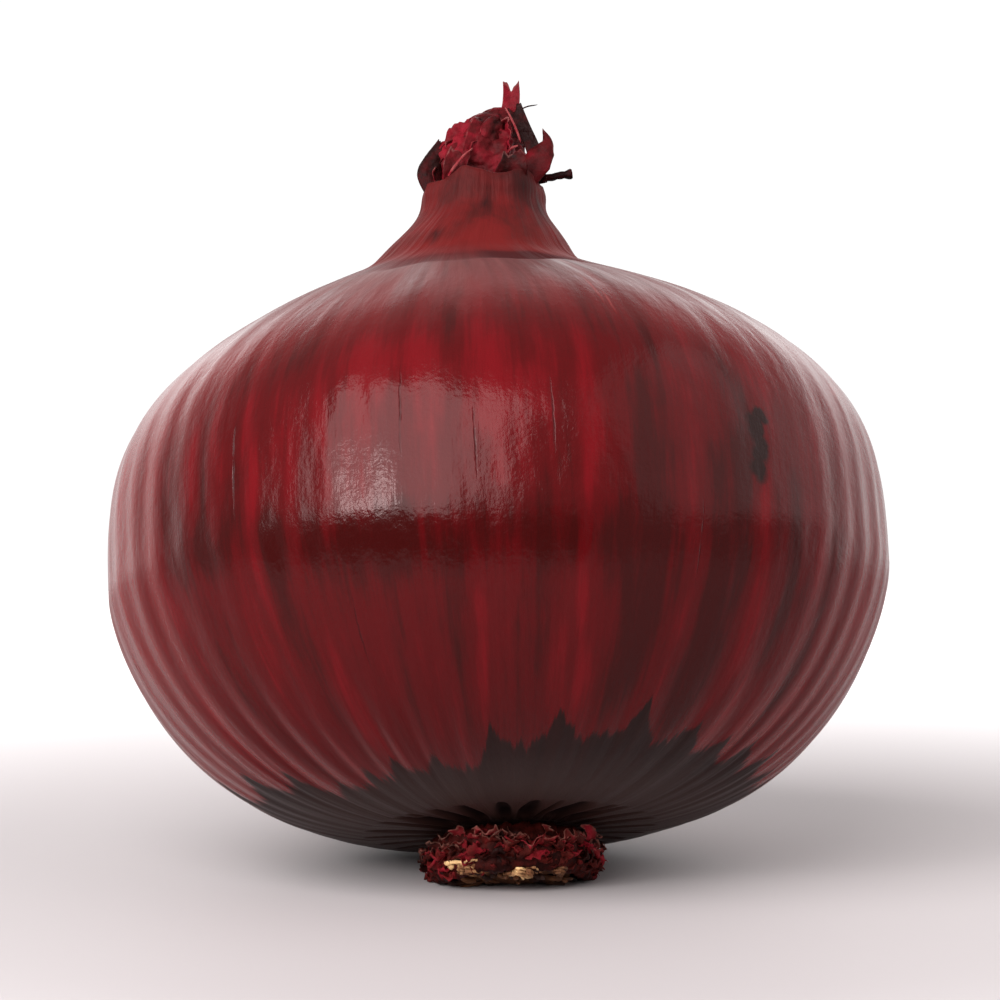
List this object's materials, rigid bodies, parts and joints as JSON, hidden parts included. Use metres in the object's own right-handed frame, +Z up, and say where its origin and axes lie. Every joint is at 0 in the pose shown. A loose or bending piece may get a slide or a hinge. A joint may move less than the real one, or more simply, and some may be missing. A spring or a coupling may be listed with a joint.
{
  "type": "red onion",
  "caption": "Whole red onion with a squat ridged bulb in glossy striped skin, a torn papery neck and a dry root plate that it stands on.",
  "frame": {"origin": "on the floor, in the middle of the flat that the cut roots rest on", "axes": "+Z up from the resting flat, -Y towards the side of the onion seen first, +X to that side's right; the bulb leans back to +Y"},
  "size_m": [0.09, 0.0888, 0.0906],
  "materials": {
    "skin": "glossy dark red skin with meridian stripes from bright red to brown purple",
    "dry_scale": "dry papery crimson scale with dark torn edges",
    "torn_scale": "matt crumpled red scale bases",
    "root": "dry tan root fibre"
  },
  "bodies": {
    "root": {"bulb": "skin", "neck_scales": "dry_scale", "scale_bases": "torn_scale", "root_plate": "root"}
  },
  "joints": []
}
